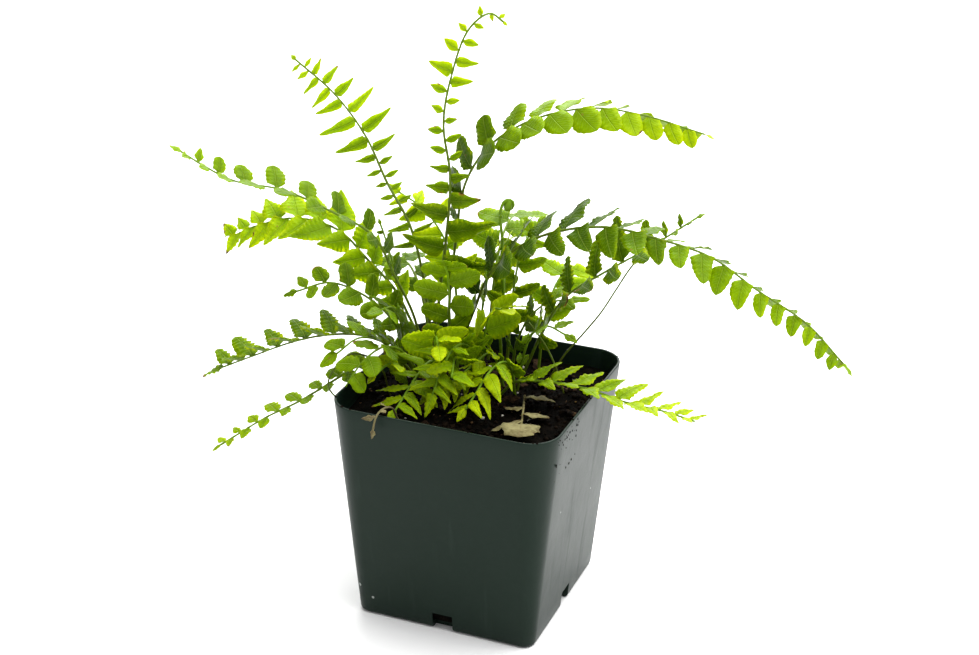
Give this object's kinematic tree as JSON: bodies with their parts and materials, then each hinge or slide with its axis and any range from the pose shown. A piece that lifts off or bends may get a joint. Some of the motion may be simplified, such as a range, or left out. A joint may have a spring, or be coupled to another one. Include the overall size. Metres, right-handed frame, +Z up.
{
  "type": "potted fern",
  "caption": "Young sword fern with arching, leafleted fronds growing in soil in a square tapered plastic nursery pot.",
  "frame": {"origin": "middle of the pot's underside, on its flat centre pad", "axes": "+Z up; the pot's four sides face +X, -X, +Y and -Y, and -Y is the side seen at the front"},
  "size_m": [0.3011, 0.1781, 0.2614],
  "materials": {
    "pot_plastic": "satin dark green-grey thin moulded plastic",
    "soil": "loose black-brown potting mix, matte",
    "leaf_bright": "fresh green leaf, soft sheen, slightly translucent",
    "leaf_mid": "mid green leaf, soft sheen, slightly translucent",
    "leaf_deep": "dark green leaf, soft sheen",
    "leaf_pale": "yellow-green young leaf, translucent",
    "dry_leaf": "dead tan leaf and stem, matte"
  },
  "bodies": {
    "root": {"pot": "pot_plastic", "soil": "soil", "frond_tall_centre": "leaf_bright", "frond_high_right": "leaf_deep", "frond_long_right": "leaf_deep", "frond_back_left": "leaf_pale", "frond_upper_left": "leaf_bright", "frond_pale_left": "leaf_pale", "frond_mid_left": "leaf_mid", "frond_low_left": "leaf_mid", "frond_low_right": "leaf_mid", "frond_front_right": "leaf_pale", "frond_front_left": "leaf_bright", "frond_front_centre": "leaf_pale", "frond_young_left": "leaf_mid", "frond_gold_back": "leaf_pale", "frond_mid_back": "leaf_mid", "frond_inner_front": "leaf_bright", "frond_inner_centre": "leaf_pale", "frond_inner_left": "leaf_mid", "frond_inner_tall": "leaf_bright", "frond_inner_gold": "leaf_pale", "frond_inner_low": "leaf_deep", "frond_inner_right": "leaf_mid", "frond_back": "leaf_mid", "frond_back_right": "leaf_bright", "frond_back_low": "leaf_deep", "frond_unfurling": "leaf_mid", "frond_crown_front": "leaf_bright", "frond_crown_left": "leaf_mid", "frond_crown_olive": "leaf_pale", "frond_crown_right": "leaf_mid", "frond_crown_fan": "leaf_pale", "frond_crown_high": "leaf_mid", "crozier": "leaf_pale", "bare_stem_long": "dry_leaf", "bare_stem_short": "dry_leaf", "dead_leaf": "dry_leaf", "dry_scrap": "dry_leaf", "dry_stem": "dry_leaf"}
  },
  "joints": []
}
